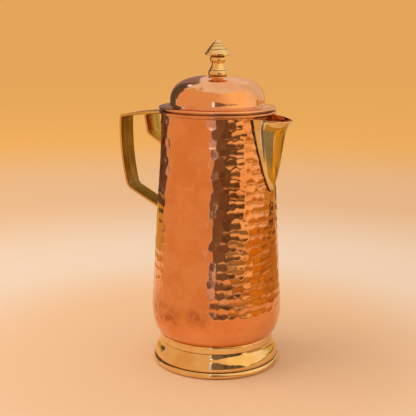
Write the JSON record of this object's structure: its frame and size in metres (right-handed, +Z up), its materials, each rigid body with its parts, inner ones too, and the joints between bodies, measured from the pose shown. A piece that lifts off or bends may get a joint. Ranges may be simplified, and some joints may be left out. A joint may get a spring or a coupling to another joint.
{
  "type": "water jug",
  "caption": "Hammered copper water jug on a brass foot, with a brass beak spout, a strap handle with an inner bracket, and a lift-off domed lid with a turned knob.",
  "frame": {"origin": "on the table, under the middle of the jug's overall length from grip to spout", "axes": "+Z up along the jug's axis, +X towards the spout, -X towards the handle"},
  "size_m": [0.1664, 0.116, 0.285],
  "materials": {
    "hammered_copper": "hand hammered, polished copper",
    "polished_copper": "smooth polished copper",
    "inner_copper": "plain satin copper",
    "polished_brass": "polished brass",
    "handle_brass": "polished brass strap, slightly darker"
  },
  "bodies": {
    "vessel": {"body_shell": "hammered_copper", "body_base": "inner_copper", "rim_bead": "polished_copper", "foot_ring": "polished_brass", "spout": "polished_brass", "handle_strap": "handle_brass", "handle_bracket": "handle_brass"},
    "lid": {"lid_shell": "polished_copper", "lid_collar": "inner_copper", "lid_knob": "polished_brass", "knob_screw": "polished_brass", "knob_washer": "polished_brass"}
  },
  "joints": [
    {"name": "lid_lift", "type": "slide", "parent": "vessel", "child": "lid", "axis": [0, 0, 1], "range_m": [0, 0.08]}
  ]
}
